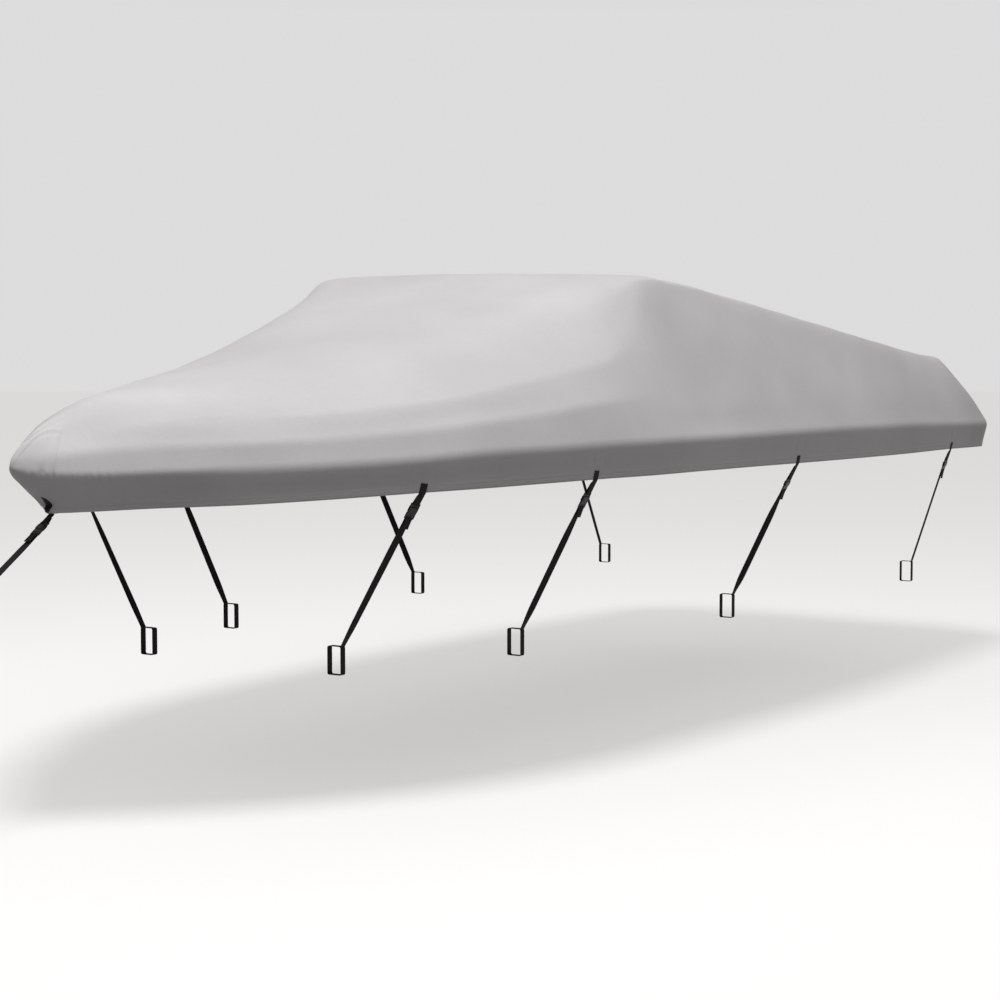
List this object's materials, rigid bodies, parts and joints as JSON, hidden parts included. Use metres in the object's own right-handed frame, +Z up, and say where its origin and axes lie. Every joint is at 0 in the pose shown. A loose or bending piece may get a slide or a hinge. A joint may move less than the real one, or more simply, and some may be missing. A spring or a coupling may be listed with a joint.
{
  "type": "fitted boat cover",
  "caption": "Fitted cloth cover for a trailered runabout, hollow over its deck and windshield, held down by hem tabs, side-release buckles and webbing straps.",
  "frame": {"origin": "underside of the cloth in the middle of the windshield's top edge, the highest place where the boat holds the cover up", "axes": "+X aft along the boat, +Y to starboard, +Z up"},
  "size_m": [5.676, 2.2386, 1.3973],
  "materials": {
    "canopy_cloth": "matt",
    "black_webbing": "matt",
    "black_acetal": "semi-gloss"
  },
  "bodies": {
    "root": {"canopy": "canopy_cloth", "crescent_bow": "black_webbing", "tab_port_1": "black_webbing", "socket_port_1": "black_acetal", "plug_port_1": "black_acetal", "strap_port_1": "black_webbing", "tab_port_2": "black_webbing", "socket_port_2": "black_acetal", "plug_port_2": "black_acetal", "strap_port_2": "black_webbing", "tab_port_3": "black_webbing", "socket_port_3": "black_acetal", "plug_port_3": "black_acetal", "strap_port_3": "black_webbing", "tab_port_4": "black_webbing", "socket_port_4": "black_acetal", "plug_port_4": "black_acetal", "strap_port_4": "black_webbing", "tab_starboard_1": "black_webbing", "socket_starboard_1": "black_acetal", "plug_starboard_1": "black_acetal", "strap_starboard_1": "black_webbing", "tab_starboard_2": "black_webbing", "socket_starboard_2": "black_acetal", "plug_starboard_2": "black_acetal", "strap_starboard_2": "black_webbing", "tab_starboard_3": "black_webbing", "socket_starboard_3": "black_acetal", "plug_starboard_3": "black_acetal", "strap_starboard_3": "black_webbing", "tab_starboard_4": "black_webbing", "socket_starboard_4": "black_acetal", "plug_starboard_4": "black_acetal", "strap_starboard_4": "black_webbing", "tab_bow": "black_webbing", "socket_bow": "black_acetal", "plug_bow": "black_acetal", "strap_bow": "black_webbing"}
  },
  "joints": []
}
